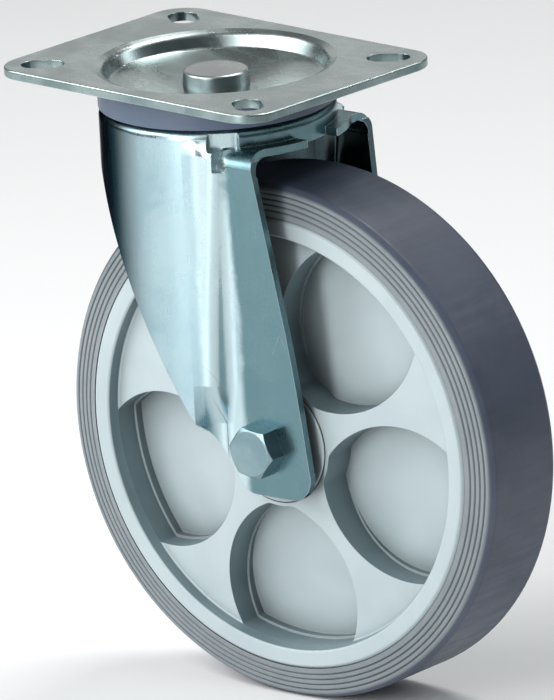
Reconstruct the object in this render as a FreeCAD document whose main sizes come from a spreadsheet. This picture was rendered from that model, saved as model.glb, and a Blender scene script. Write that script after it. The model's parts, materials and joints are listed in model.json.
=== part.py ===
import FreeCAD, Part
import Sketcher
import math
import os

# Swivel plate castor with a 200 mm wheel, in millimetres.
# Origin: the middle of the plate's top face, on the swivel axis. +Z up, X along the plate's
# long side. The swivel fork rests turned by rest_swivel about +Z; in the fork's own frame the
# axle runs along Y and the wheel trails towards +X.

Vec = FreeCAD.Vector
UP = Vec(0, 0, 1)

doc = FreeCAD.newDocument("swivel_castor")
sheet = doc.addObject("Spreadsheet::Sheet", "Dims")

DIMENSIONS = [
    # mounting plate
    ("plate_length", 134), ("plate_width", 105), ("plate_thick", 3.5), ("plate_corner", 13),
    ("plate_edge", 0.6), ("slot_pitch_long", 105), ("slot_pitch_wide", 77.5), ("slot_width", 11),
    ("slot_length", 16.5), ("dish_lip", 45), ("dish_foot", 40.2), ("dish_floor", 14),
    ("dish_step", 6), ("dish_depth", 11.2),
    # king pin and swivel bearing
    ("pin_head_radius", 12.6), ("pin_head_top", 2.9), ("pin_radius", 8), ("pin_foot_radius", 11.5),
    ("pin_foot_height", 4.2), ("ball_circle", 34), ("ball_radius", 3.2), ("ball_count", 32),
    ("ball_sink", 0.8), ("low_ball_circle", 19), ("low_ball_radius", 3), ("low_ball_count", 18),
    ("low_ball_sink", 0.7), ("ball_play", 0.3), ("cup_radius", 24.5), ("cup_thick", 3),
    ("cup_top", 23.4), ("cup_rim_top", 19.6), ("cup_rim", 1.6),
    # dust seal
    ("seal_radius", 44.9), ("seal_wall", 1.6), ("seal_top", 4.3), ("seal_edge", 14.7),
    ("seal_seat", 41.5), ("seal_bore", 38.5),
    # fork
    ("rest_swivel", 4.6), ("trail", 38), ("axle_drop", 138), ("fork_sheet", 3), ("pan_radius", 44.8),
    ("pan_top", 15.4), ("pan_bend", 3), ("crown_bore", 10), ("shelf_top", 22), ("shelf_radius", 50.3),
    ("shelf_gap", 17.8), ("shelf_shoulder", 43), ("shoulder_bend", 8), ("shoulder_start", 28),
    ("under_shelf_start", 22), ("leg_half_top", 37.2), ("leg_half_width", 31), ("leg_bottom", 156.4),
    ("leg_end", 72), ("front_edge_top", 43.6), ("front_edge_foot", 61.6), ("rear_edge_depth", 30),
    ("rear_edge_top", -36), ("rear_edge_foot", 29.4), ("rear_sweep", 27), ("foot_rear_round", 8),
    ("foot_front_round", 9), ("relief_radius", 2.6), ("relief_depth", 6.2), ("bead_front", 28), ("outside", 90),
    # wheel
    ("wheel_radius", 100), ("tread_half", 17.3), ("tyre_half", 21.4), ("tyre_edge_half", 20),
    ("rim_radius", 88), ("groove_first", 90.4), ("groove_step", 2.05), ("groove_count", 4),
    ("groove_depth", 0.6), ("groove_half", 0.45), ("lip_half", 22.2), ("lip_radius", 80.8),
    ("recess_radius", 80), ("recess_half", 17), ("hub_half", 22.4),
    ("pocket_hub", 24.6), ("pocket_arc", 37.4), ("pocket_ledge", 0.9), ("ledge_half", 8),
    ("web_hub_half", 8.5), ("web_rim_half", 4.4), ("spoke_count", 5), ("pocket_turn", -17),
    ("petal_away", 59.2), ("petal_aside", 7.2), ("petal_hub_round", 5), ("petal_rim_round", 1.6),
    # hub bearing
    ("shell_radius", 15), ("shell_wall", 0.8), ("shell_half", 19.2), ("roller_circle", 12.1),
    ("roller_radius", 1.95), ("roller_half", 16), ("roller_count", 12), ("cage_half", 18.4),
    ("cage_inner", 11), ("cage_outer", 13.2), ("cap_radius", 22.9), ("cap_seat", 19.5),
    ("cap_face", 23), ("cap_bore", 10.5), ("cap_play", 0.35),
    # axle
    ("sleeve_radius", 10), ("sleeve_bore", 6.15), ("bolt_radius", 5.95), ("bolt_tip", 47.5),
    ("head_flats", 18), ("head_height", 8), ("hex_turn", 23), ("washer_radius", 12), ("washer_thick", 2.5),
    ("nut_flats", 18), ("nut_height", 9.5), ("lock_ring_radius", 8.3), ("lock_ring_height", 2.4),
    ("spacer_radius", 15.5), ("spacer_play", 0.5),
]


def fill_sheet():
    for row, (alias, value) in enumerate(DIMENSIONS, start=1):
        sheet.set(f"A{row}", alias)
        sheet.set(f"B{row}", str(value))
        sheet.setAlias(f"B{row}", alias)
    doc.recompute()


fill_sheet()


def dim(alias):
    return float(sheet.get(alias))


def cell(text):
    """Turn the words in a formula that are aliases into references to the sheet."""
    names = {alias for alias, _ in DIMENSIONS}
    return " ".join(f"Dims.{word}" if word in names else word for word in text.split())


def bind(thing, prop, formula):
    thing.setExpression(prop, cell(formula))


# ---------------------------------------------------------------- bodies and sketches

def new_body(label):
    body = doc.addObject("PartDesign::Body", label)
    body.Label = label
    body.AllowCompound = True
    return body


def origin_feature(body, role):
    return [item for item in body.Origin.OriginFeatures if item.Role == role][0]


def sketch_on(body, plane, name, lift=None):
    sketch = body.newObject("Sketcher::SketchObject", name)
    sketch.AttachmentSupport = [(origin_feature(body, plane), "")]
    sketch.MapMode = "FlatFace"
    if lift:
        bind(sketch, "AttachmentOffset.Base.z", lift)
    return sketch


def add_circle(sketch, formula):
    """A circle about the sketch's origin, its radius bound to the sheet."""
    index = sketch.addGeometry(Part.Circle(Vec(0, 0, 0), UP, 10))
    sketch.addConstraint(Sketcher.Constraint("Coincident", index, 3, -1, 1))
    number = sketch.addConstraint(Sketcher.Constraint("Radius", index, 10))
    bind(sketch, f"Constraints[{number}]", formula)


def add_box(sketch, left, right, low, high):
    """A rectangle whose four sides are bound to the sheet, given as formulas."""
    corners = [Vec(1, 1, 0), Vec(2, 1, 0), Vec(2, 2, 0), Vec(1, 2, 0)]
    first = sketch.GeometryCount
    for number in range(4):
        sketch.addGeometry(Part.LineSegment(corners[number], corners[(number + 1) % 4]))
    for number in range(4):
        sketch.addConstraint(
            Sketcher.Constraint("Coincident", first + number, 2, first + (number + 1) % 4, 1)
        )
    for number, kind in enumerate(("Horizontal", "Vertical", "Horizontal", "Vertical")):
        sketch.addConstraint(Sketcher.Constraint(kind, first + number))
    sides = [("DistanceX", 0, left), ("DistanceX", 2, right), ("DistanceY", 0, low), ("DistanceY", 2, high)]
    for kind, line, formula in sides:
        number = sketch.addConstraint(Sketcher.Constraint(kind, -1, 1, first + line, 1, 1.5))
        bind(sketch, f"Constraints[{number}]", formula)


def round_corner(before, corner, after, radius):
    """The two tangent points and the middle of the arc that rounds a corner."""
    to_before = (before - corner).normalize()
    to_after = (after - corner).normalize()
    half = to_before.getAngle(to_after) / 2
    reach = radius / math.tan(half)
    bisector = (to_before + to_after).normalize()
    centre = corner + bisector * (radius / math.sin(half))
    return corner + to_before * reach, centre - bisector * radius, corner + to_after * reach


def add_outline(sketch, corners):
    """A closed outline of straight lines through (x, y, radius) corners, each rounded."""
    points = [Vec(x, y, 0) for x, y, _ in corners]
    total = len(corners)
    runs = []
    for number, (_, _, radius) in enumerate(corners):
        before, after = points[number - 1], points[(number + 1) % total]
        if radius:
            runs.append(round_corner(before, points[number], after, radius))
        else:
            runs.append((points[number], None, points[number]))
    for number, (start, middle, end) in enumerate(runs):
        if middle is not None:
            sketch.addGeometry(Part.Arc(start, middle, end))
        following = runs[(number + 1) % total][0]
        if (following - end).Length > 1e-6:
            sketch.addGeometry(Part.LineSegment(end, following))


def pad(body, sketch, length, name, down=False):
    feature = body.newObject("PartDesign::Pad", name)
    feature.Profile = sketch
    bind(feature, "Length", length)
    feature.Reversed = down
    return feature


def cut(body, sketch, length, name, flip=False, both_ways=False):
    """A pocket; it stops the build if it removes nothing."""
    doc.recompute()
    before = body.Shape.Volume
    feature = body.newObject("PartDesign::Pocket", name)
    feature.Profile = sketch
    bind(feature, "Length", length)
    feature.Reversed = flip
    feature.Midplane = both_ways
    doc.recompute()
    if body.Shape.Volume > before - 1e-3:
        raise RuntimeError(f"{body.Label}: {name} removes nothing")
    return feature


def turn(body, sketch, name, kind="PartDesign::Revolution"):
    """A full revolution, or a groove, of a sketch about its vertical axis."""
    feature = body.newObject(kind, name)
    feature.Profile = sketch
    feature.ReferenceAxis = (sketch, ["V_Axis"])
    feature.Angle = 360
    return feature


def round_edges(body, name, edges, radius):
    """Fillet the named edges of the body as it stands."""
    base = body.Tip
    feature = body.newObject("PartDesign::Fillet", name)
    feature.Base = (base, edges)
    bind(feature, "Radius", radius)
    return feature


def around(body, originals, count, axis, name):
    pattern = body.newObject("PartDesign::PolarPattern", name)
    pattern.Originals = originals
    pattern.Axis = (origin_feature(body, axis), [""])
    pattern.Angle = 360
    bind(pattern, "Occurrences", count)
    body.Tip = pattern
    return pattern


def on_fork(thing):
    """Turn a piece that is drawn in the fork's frame to where the fork rests."""
    thing.Placement = FreeCAD.Placement(Vec(0, 0, 0), FreeCAD.Rotation(UP, 1))
    bind(thing, "Placement.Rotation.Angle", "rest_swivel")


def on_axle(thing):
    """Put a piece that is drawn about the Y axis on the axle."""
    on_fork(thing)
    bind(thing, "Placement.Base.x", "trail * cos( rest_swivel * 1deg )")
    bind(thing, "Placement.Base.y", "trail * sin( rest_swivel * 1deg )")
    bind(thing, "Placement.Base.z", "- axle_drop")


def tube(label, inner, outer, low, high):
    """A plain ring about the axle, from low to high along it."""
    body = new_body(label)
    section = sketch_on(body, "XY_Plane", f"{label}_section")
    add_box(section, inner, outer, low, high)
    turn(body, section, f"{label}_turned")
    on_axle(body)
    return body


# ---------------------------------------------------------------- plate and swivel bearing

def make_top_plate():
    """The pressed plate: rounded corners, a round dish for the king pin, four slanted slots."""
    body = new_body("top_plate")
    outline = sketch_on(body, "XY_Plane", "plate_outline")
    half_x, half_y, corner = dim("plate_length") / 2, dim("plate_width") / 2, dim("plate_corner")
    signs = [(-1, -1), (1, -1), (1, 1), (-1, 1)]
    add_outline(outline, [(sx * half_x, sy * half_y, corner) for sx, sy in signs])
    pad(body, outline, "plate_thick", "plate_sheet", down=True)

    thick, foot, step = dim("plate_thick"), dim("dish_foot"), dim("dish_step")
    floor, depth, lip = dim("dish_floor"), dim("dish_depth"), dim("dish_lip")
    below = sketch_on(body, "XZ_Plane", "dish_underside")
    wall_top, wall_foot = lip - 2.4, foot + 1.4
    add_outline(below, [
        (0, -1, 0), (lip, -1, 0), (lip, -thick, 0), (wall_top, -thick, 0),
        (wall_foot, -step - thick + 0.4, 2), (floor, -depth - thick, 6), (0, -depth - thick, 0),
    ])
    turn(body, below, "dish_pressing")
    above = sketch_on(body, "XZ_Plane", "dish_top")
    add_outline(above, [
        (0, 2, 0), (lip + 2.5, 2, 0), (lip + 0.8, 0, 0), (lip - 2.2, -1.1, 3),
        (foot, -step, 1.2), (floor, -depth, 8), (0, -depth, 0),
    ])
    turn(body, above, "dish_recess", "PartDesign::Groove")

    slots = sketch_on(body, "XY_Plane", "slots")
    width, reach = dim("slot_width") / 2, dim("slot_length") / 2
    for sx, sy in signs:
        middle = Vec(sx * dim("slot_pitch_long") / 2, sy * dim("slot_pitch_wide") / 2, 0)
        along = Vec(middle.x, middle.y, 0).normalize()
        across = Vec(-along.y, along.x, 0)
        straight = reach - width
        far_end, near_end = middle + along * straight, middle - along * straight
        slots.addGeometry(Part.LineSegment(near_end - across * width, far_end - across * width))
        slots.addGeometry(Part.Arc(far_end - across * width, far_end + along * width, far_end + across * width))
        slots.addGeometry(Part.LineSegment(far_end + across * width, near_end + across * width))
        slots.addGeometry(Part.Arc(near_end + across * width, near_end - along * width, near_end - across * width))
    cut(body, slots, "plate_thick + 1", "slot_cut")

    hole = sketch_on(body, "XY_Plane", "pin_hole")
    add_circle(hole, "pin_radius")
    cut(body, hole, "dish_depth + plate_thick + 2", "pin_hole_cut")
    groove_for_balls(body, "ball_race", "ball_circle", "ball_radius", upper_ball_height())
    round_plate_edges(body)
    return body


def round_plate_edges(body):
    """Ease the sheared outer edge of the sheet, top and bottom."""
    doc.recompute()
    half_x, half_y = dim("plate_length") / 2, dim("plate_width") / 2
    reach_corner = math.hypot(half_x, half_y) - dim("plate_corner")
    names = []
    for number, edge in enumerate(body.Shape.Edges, start=1):
        box = edge.BoundBox
        flat = box.ZLength < 1e-6 and (abs(box.ZMax) < 1e-6 or abs(box.ZMax + dim("plate_thick")) < 1e-6)
        at_side = abs(abs(box.Center.x) - half_x) < 1e-6 or abs(abs(box.Center.y) - half_y) < 1e-6
        at_corner = math.hypot(box.Center.x, box.Center.y) > reach_corner
        if flat and (at_side or at_corner):
            names.append(f"Edge{number}")
    round_edges(body, "eased_edge", names, "plate_edge")


def groove_for_balls(body, name, circle, radius, height):
    """A round race groove whose section is a circle a little larger than the ball."""
    section = sketch_on(body, "XZ_Plane", name)
    grown = dim(radius) + dim("ball_play")
    section.addGeometry(Part.Circle(Vec(dim(circle), -height, 0), UP, grown))
    turn(body, section, f"{name}_groove", "PartDesign::Groove")


def upper_ball_height():
    """How far the upper balls' centres lie below the plate's top face."""
    return dim("pan_top") - dim("ball_radius") + dim("ball_sink")


def lower_ball_height():
    """How far the lower balls' centres lie below the plate's top face."""
    return dim("pan_top") + dim("fork_sheet") + dim("low_ball_radius") - dim("low_ball_sink")


def make_king_pin():
    """The riveted pin: a low drum head in the dish, a shank, and an upset foot."""
    body = new_body("king_pin")
    section = sketch_on(body, "XZ_Plane", "pin_section")
    head, shank, foot = dim("pin_head_radius"), dim("pin_radius"), dim("pin_foot_radius")
    seat, low = dim("dish_depth"), dim("cup_top") + dim("cup_thick")
    end = low + dim("pin_foot_height")
    add_outline(section, [
        (0, -dim("pin_head_top"), 0), (head - 0.5, -dim("pin_head_top"), 1.3), (head + 0.3, -seat + 2.5, 8),
        (head - 0.3, -seat, 0), (shank, -seat, 0), (shank, -low, 0), (foot, -low, 0),
        (foot - 1.5, -end, 2), (0, -end, 0),
    ])
    turn(body, section, "pin_turned")
    return body


def make_lower_race_cup():
    """The pressed washer with an upturned rim that carries the lower balls."""
    body = new_body("lower_race_cup")
    section = sketch_on(body, "XZ_Plane", "cup_section")
    bore, edge, top = dim("pin_radius"), dim("cup_radius"), dim("cup_top")
    under, rim, inner = top + dim("cup_thick"), dim("cup_rim_top"), edge - dim("cup_rim")
    add_outline(section, [
        (bore, -under, 0), (edge, -under, 2.2), (edge, -rim, 0.5), (inner, -rim, 0.5),
        (inner, -top, 0.8), (bore, -top, 0),
    ])
    turn(body, section, "cup_turned")
    groove_for_balls(body, "cup_race", "low_ball_circle", "low_ball_radius", lower_ball_height())
    return body


def make_balls(label, circle, radius, count, height):
    """A full ring of loose bearing balls, each its own solid."""
    body = new_body(label)
    section = sketch_on(body, "XZ_Plane", f"{label}_section")
    away, size = dim(circle), dim(radius)
    top, bottom, side = Vec(0, size, 0), Vec(0, -size, 0), Vec(size, 0, 0)
    centre = Vec(away, -height, 0)
    section.addGeometry(Part.Arc(centre + bottom, centre + side, centre + top))
    line = section.addGeometry(Part.LineSegment(centre + top, centre + bottom))
    ball = body.newObject("PartDesign::Revolution", f"{label}_one")
    ball.Profile = section
    ball.ReferenceAxis = (section, [f"Edge{line + 1}"])
    ball.Angle = 360
    around(body, [ball], count, "Z_Axis", f"{label}_ring")
    on_fork(body)
    return body


def make_dust_seal():
    """The plastic ring that closes the swivel bearing between the plate and the fork."""
    body = new_body("dust_seal")
    section = sketch_on(body, "XZ_Plane", "seal_section")
    outer, wall = dim("seal_radius"), dim("seal_wall")
    top, edge, seat, bore, pan = (dim(n) for n in ("seal_top", "seal_edge", "seal_seat", "seal_bore", "pan_top"))
    add_outline(section, [
        (outer - wall, -top, 0.3), (outer, -top, 0.5), (outer, -edge, 0.4), (seat + 1.2, -edge, 0),
        (seat, -pan, 0), (bore, -pan, 0), (bore, -pan + 1.4, 0), (outer - wall, -edge + 1.6, 1),
    ])
    turn(body, section, "seal_turned")
    on_fork(body)
    return body


# ---------------------------------------------------------------- fork

# The bead's corners (x, y) on the -Y side, level by level. The last one lies on the leg's outer
# face. BEAD_START is where the bead leaves the round skirt, in degrees, and BEAD_BENDS are the
# corners' bend radii.
BEAD_START = -70.0
BEAD_BENDS = [8, 5, 4]
BEAD_HEAD = [(20.0, -40.1), (26.5, -36.1), (32.0, -31.4)]
BEAD_TOP = [(22.0, -40.6), (28.6, -40.6), (32.0, -dim("leg_half_top"))]
BEAD_LOW = [(19.0, -40.4), (23.0, -39.0), (25.0, -dim("leg_half_width"))]
BEAD_END = [(18.4, -33.2), (22.0, -32.4), (24.3, -dim("leg_half_width"))]


def between(one, two, share):
    """The bead's corners part of the way from one level to another."""
    return [
        (x1 + (x2 - x1) * share, y1 + (y2 - y1) * share) for (x1, y1), (x2, y2) in zip(one, two)
    ]


# The depths at which the fork's plan is drawn, with the bead's corners there. The skirt starts
# round, the bead swells at the shelf, leans in with the leg and fades out above the axle.
PLANS = [
    (dim("pan_top") + dim("pan_bend") + 0.1, BEAD_HEAD),
    (dim("shelf_top") + 2, BEAD_TOP),
    (92.0, between(BEAD_TOP, BEAD_LOW, 0.84)),
    (102.0, between(BEAD_TOP, BEAD_LOW, 0.92)),
    (114.0, between(BEAD_TOP, BEAD_LOW, 0.98)),
    (130.0, BEAD_END),
    (dim("leg_bottom") + 2, BEAD_END),
]


def bead_at(depth):
    """The bead's corners at any depth between the plans."""
    for (high, one), (low, two) in zip(PLANS, PLANS[1:]):
        if depth <= low:
            return between(one, two, (depth - high) / (low - high))
    return BEAD_END


def bead_nodes(bead, inset):
    """The plan's corner points on the -Y side, moved inwards by inset, with their bend radii."""
    start = math.radians(BEAD_START)
    pan, end = dim("pan_radius"), dim("leg_end")
    raw = [(pan * math.cos(start), pan * math.sin(start))] + bead + [(end, bead[-1][1])]
    points = [Vec(x, y, 0) for x, y in raw]
    inward = []
    for one, two in zip(points, points[1:]):
        along = (two - one).normalize()
        inward.append(Vec(-along.y, along.x, 0))
    radius = pan - inset
    moved = [(Vec(radius * math.cos(start), radius * math.sin(start), 0), 0)]
    for number, (point, bend) in enumerate(zip(points[1:-1], BEAD_BENDS)):
        one, two = inward[number], inward[number + 1]
        shift = (one + two) * (inset / (1 + one.dot(two)))
        bends_in = one.cross(two).z < 0
        moved.append((point + shift, bend + (inset if bends_in else -inset)))
    moved.append((Vec(end, bead[-1][1] + inset, 0), 0))
    return moved


def add_plan(sketch, bead, inset):
    """The fork seen from above: a round rear skirt, a bead on each side, flat legs."""
    nodes = bead_nodes(bead, inset)
    side = []
    last = nodes[0][0]
    for (before, _), (corner, bend), (after, _) in zip(nodes, nodes[1:], nodes[2:]):
        near, middle, far = round_corner(before, corner, after, bend)
        side.append(("line", last, near))
        side.append(("arc", near, middle, far))
        last = far
    tip = nodes[-1][0]
    side.append(("line", last, tip))
    start = nodes[0][0]
    back = Vec(-start.Length, 0, 0)
    for kind, *points in reversed(side):
        points = [Vec(p.x, -p.y, 0) for p in reversed(points)]
        sketch.addGeometry(Part.LineSegment(*points) if kind == "line" else Part.Arc(*points))
    sketch.addGeometry(Part.Arc(Vec(start.x, -start.y, 0), back, start))
    for kind, *points in side:
        sketch.addGeometry(Part.LineSegment(*points) if kind == "line" else Part.Arc(*points))
    sketch.addGeometry(Part.LineSegment(tip, Vec(tip.x, -tip.y, 0)))


def loft_plan(body, name, start, inset, kind):
    """A ruled wall through the plans from a starting depth to below the feet."""
    plans = []
    for depth in [start] + [depth for depth, _ in PLANS if depth > start]:
        plan = sketch_on(body, "XY_Plane", f"{name}_{depth:.0f}", lift=f"- {depth}")
        add_plan(plan, bead_at(depth), inset)
        plans.append(plan)
    made = body.newObject(kind, name)
    made.Profile = plans[0]
    made.Sections = plans[1:]
    made.Ruled = True
    doc.recompute()
    return made


def add_side_profile(sketch):
    """The legs from the side: everything outside this outline is trimmed away."""
    low, high = -dim("leg_bottom"), -dim("pan_top") / 2
    shelf, rear, far = -dim("shelf_top") - dim("fork_sheet"), -dim("rear_edge_depth"), dim("outside")
    add_outline(sketch, [
        (-far, high, 0), (-far, rear, 0), (dim("rear_edge_top"), rear, dim("rear_sweep")),
        (dim("rear_edge_foot"), low, dim("foot_rear_round")),
        (dim("front_edge_foot"), low, dim("foot_front_round")), (dim("front_edge_top"), shelf, 0),
        (far, shelf, 0), (far, high, 0),
    ])
    add_outline(sketch, [(-far * 2, 0, 0), (far * 2, 0, 0), (far * 2, low * 2, 0), (-far * 2, low * 2, 0)])


def make_fork():
    """The pressed fork: round crown pan, rear skirt, beaded sides, two legs to the axle."""
    body = new_body("fork")
    loft_plan(body, "skirt", PLANS[0][0], 0, "PartDesign::AdditiveLoft")
    pan = sketch_on(body, "XY_Plane", "pan_plan", lift="- pan_top")
    add_circle(pan, "pan_radius")
    pad(body, pan, "shelf_top - pan_top + fork_sheet", "pan", down=True)
    round_pan(body)

    below_bend = dim("shelf_top") + dim("shoulder_bend")
    loft_plan(body, "skirt_hollow", below_bend, dim("fork_sheet"), "PartDesign::SubtractiveLoft")
    under = sketch_on(body, "XY_Plane", "pan_inside", lift="- ( pan_top + fork_sheet )")
    add_circle(under, "pan_radius - fork_sheet")
    cut(body, under, "shelf_top - pan_top + shoulder_bend - fork_sheet + 0.5", "pan_hollow")
    cut_under_shelf(body)

    trim = sketch_on(body, "XZ_Plane", "side_profile")
    add_side_profile(trim)
    cut(body, trim, "outside * 2", "side_trim", both_ways=True)
    front = sketch_on(body, "XY_Plane", "shelf_front", lift="- pan_top")
    add_shelf_front(front)
    far = dim("outside") * 2
    add_outline(front, [(-far, -far, 0), (far, -far, 0), (far, far, 0), (-far, far, 0)])
    cut(body, front, "shelf_top - pan_top + fork_sheet", "shelf_front_cut")
    cut_above_shelf(body)
    cut_shelf_gap(body)
    cut_shoulders(body)
    cut_reliefs(body)

    bore = sketch_on(body, "XY_Plane", "crown_hole", lift="- pan_top")
    add_circle(bore, "crown_bore")
    cut(body, bore, "fork_sheet + 2", "crown_hole_cut")
    groove_for_balls(body, "crown_race", "ball_circle", "ball_radius", upper_ball_height())
    groove_for_balls(body, "crown_under_race", "low_ball_circle", "low_ball_radius", lower_ball_height())
    holes = sketch_on(body, "XZ_Plane", "axle_holes")
    axle = Part.Circle(Vec(dim("trail"), -dim("axle_drop"), 0), UP, dim("sleeve_bore"))
    holes.addGeometry(axle)
    cut(body, holes, "outside * 2", "axle_hole_cut", both_ways=True)
    on_fork(body)
    return body


def round_pan(body):
    """The rolled top edge of the crown pan."""
    doc.recompute()
    names = []
    for number, edge in enumerate(body.Shape.Edges, start=1):
        box = edge.BoundBox
        if abs(box.ZMin + dim("pan_top")) < 1e-6 and box.XLength > dim("pan_radius"):
            names.append(f"Edge{number}")
    round_edges(body, "pan_roll", names, "pan_bend")


def cut_above_shelf(body):
    """Clears the space over the shelf, in front of the beads and outside the pan's wall."""
    radius, back, far = dim("pan_radius"), dim("bead_front"), dim("outside")
    half = math.sqrt(radius ** 2 - back ** 2)
    above = sketch_on(body, "XY_Plane", "above_shelf", lift="- pan_top")
    corners = [Vec(back, -half, 0), Vec(back, -far, 0), Vec(far, -far, 0)]
    corners += [Vec(p.x, -p.y, 0) for p in reversed(corners)]
    for one, two in zip(corners, corners[1:]):
        above.addGeometry(Part.LineSegment(one, two))
    above.addGeometry(Part.Arc(corners[-1], Vec(radius, 0, 0), corners[0]))
    cut(body, above, "shelf_top - pan_top", "above_shelf_cut")


def cut_shelf_gap(body):
    """The open middle of the crown's front, between the two shelf tabs."""
    radius, half, far = dim("pan_radius"), dim("shelf_gap") / 2, dim("outside")
    start = math.sqrt(radius ** 2 - half ** 2)
    gap = sketch_on(body, "XY_Plane", "shelf_gap_plan", lift="- shelf_top")
    corners = [Vec(start, -half, 0), Vec(far, -half, 0), Vec(far, half, 0), Vec(start, half, 0)]
    for one, two in zip(corners, corners[1:]):
        gap.addGeometry(Part.LineSegment(one, two))
    gap.addGeometry(Part.Arc(corners[3], Vec(radius, 0, 0), corners[0]))
    cut(body, gap, "fork_sheet + 0.1", "shelf_gap_cut")


def add_shelf_front(sketch):
    """The shelf's outline: a round front between the shoulders, square behind them."""
    radius, ahead = dim("shelf_radius"), dim("shelf_shoulder")
    half = math.sqrt(radius ** 2 - ahead ** 2)
    far = dim("outside")
    corners = [Vec(ahead, half, 0), Vec(ahead, far, 0), Vec(-far, far, 0)]
    corners += [Vec(p.x, -p.y, 0) for p in reversed(corners)]
    for one, two in zip(corners, corners[1:]):
        sketch.addGeometry(Part.LineSegment(one, two))
    sketch.addGeometry(Part.Arc(corners[-1], Vec(radius, 0, 0), corners[0]))


def bend_section(sketch, side, top, bend):
    """Outer corner slivers of a rounded bend, on both sides, up to the top face."""
    slant = bend * (1 - math.sqrt(0.5))
    for sign in (-1, 1):
        outer = Vec(sign * (side + dim("fork_sheet")), -top, 0)
        on_top = Vec(sign * (side - bend), -top, 0)
        on_side = Vec(sign * side, -top - bend, 0)
        middle = Vec(sign * (side - slant), -top - slant, 0)
        beside = Vec(outer.x, on_side.y, 0)
        for one, two in ((on_side, beside), (beside, outer), (outer, on_top)):
            sketch.addGeometry(Part.LineSegment(one, two))
        sketch.addGeometry(Part.Arc(on_top, middle, on_side))


def cut_shoulders(body):
    """Round the bend where each leg turns over into the shelf."""
    shoulders = sketch_on(body, "YZ_Plane", "shoulders", lift="shoulder_start")
    bend_section(shoulders, dim("leg_half_top"), dim("shelf_top"), dim("shoulder_bend"))
    cut(body, shoulders, "outside", "shoulder_cut", flip=True)


def cut_under_shelf(body):
    """Hollow out the bend from below, so that the sheet keeps its thickness round it."""
    sheet = dim("fork_sheet")
    side, top = dim("leg_half_top") - sheet, dim("shelf_top") + sheet
    bend = dim("shoulder_bend") - sheet
    low = -top - bend - 1
    slant = bend * (1 - math.sqrt(0.5))
    under = sketch_on(body, "YZ_Plane", "under_shelf", lift="under_shelf_start")
    under.addGeometry(Part.LineSegment(Vec(side, low, 0), Vec(-side, low, 0)))
    for sign in (-1, 1):
        on_side, on_top = Vec(sign * side, -top - bend, 0), Vec(sign * (side - bend), -top, 0)
        middle = Vec(sign * (side - slant), -top - slant, 0)
        under.addGeometry(Part.LineSegment(Vec(sign * side, low, 0), on_side))
        under.addGeometry(Part.Arc(on_side, middle, on_top))
    under.addGeometry(Part.LineSegment(Vec(side - bend, -top, 0), Vec(bend - side, -top, 0)))
    cut(body, under, "outside", "under_shelf_cut", flip=True)


# The middle line of the relief slot on the -Y side, from the skirt to the shelf.
RELIEF_LINE = [(26.8, -37.0), (33.0, -32.4)]


def cut_reliefs(body):
    """The short relief slot between pan wall and shoulder at the top of each bead."""
    reliefs = sketch_on(body, "XY_Plane", "reliefs", lift="- ( pan_top + 1 )")
    radius = dim("relief_radius")
    for sign in (-1, 1):
        one, two = [Vec(x, sign * y, 0) for x, y in RELIEF_LINE]
        along = (two - one).normalize()
        off = Vec(-along.y, along.x, 0) * radius
        reliefs.addGeometry(Part.LineSegment(one + off, two + off))
        reliefs.addGeometry(Part.Arc(two + off, two + along * radius, two - off))
        reliefs.addGeometry(Part.LineSegment(two - off, one - off))
        reliefs.addGeometry(Part.Arc(one - off, one - along * radius, one + off))
    cut(body, reliefs, "relief_depth", "relief_cut")


# ---------------------------------------------------------------- wheel

def circle_meet(centre_one, radius_one, centre_two, radius_two, side):
    """Where two circles cross; side picks the crossing to the left (1) or right (-1)."""
    across = centre_two - centre_one
    distance = across.Length
    along = (distance ** 2 + radius_one ** 2 - radius_two ** 2) / (2 * distance)
    off = math.sqrt(radius_one ** 2 - along ** 2)
    unit = across * (1 / distance)
    return centre_one + unit * along + Vec(-unit.y, unit.x, 0) * (off * side)


def arc_about(centre, start, end):
    """The shorter arc about a centre, from start to end."""
    middle = ((start - centre) + (end - centre)).normalize() * (start - centre).Length
    return Part.Arc(start, centre + middle, end)


def add_petal(sketch, inset):
    """One petal-shaped pocket: hub arc, two bowed sides and the rim arc, corners rounded."""
    hub, rim = dim("pocket_hub") + inset, dim("recess_radius") - inset
    bow = dim("pocket_arc") - inset
    hub_round, rim_round = dim("petal_hub_round"), dim("petal_rim_round")
    turn_by = FreeCAD.Rotation(UP, dim("pocket_turn"))
    zero = Vec(0, 0, 0)
    ends = {}
    for sign in (-1, 1):
        centre = turn_by.multVec(Vec(dim("petal_away"), -dim("petal_aside") * sign, 0))
        low = circle_meet(zero, hub + hub_round, centre, bow - hub_round, sign)
        high = circle_meet(zero, rim - rim_round, centre, bow - rim_round, sign)
        on_side = [centre + (spot - centre).normalize() * bow for spot in (low, high)]
        on_hub, on_rim = Vec(low).normalize() * hub, Vec(high).normalize() * rim
        sketch.addGeometry(arc_about(centre, on_side[0], on_side[1]))
        sketch.addGeometry(arc_about(low, on_hub, on_side[0]))
        sketch.addGeometry(arc_about(high, on_side[1], on_rim))
        ends[sign] = (on_hub, on_rim)
    sketch.addGeometry(arc_about(zero, ends[-1][0], ends[1][0]))
    sketch.addGeometry(arc_about(zero, ends[-1][1], ends[1][1]))


def web_half(radius):
    """Half the web's thickness at a radius: it thins evenly from hub to rim."""
    hub, rim = dim("pocket_hub"), dim("recess_radius")
    share = (radius - hub) / (rim - hub)
    return dim("web_hub_half") + (dim("web_rim_half") - dim("web_hub_half")) * share


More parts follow.
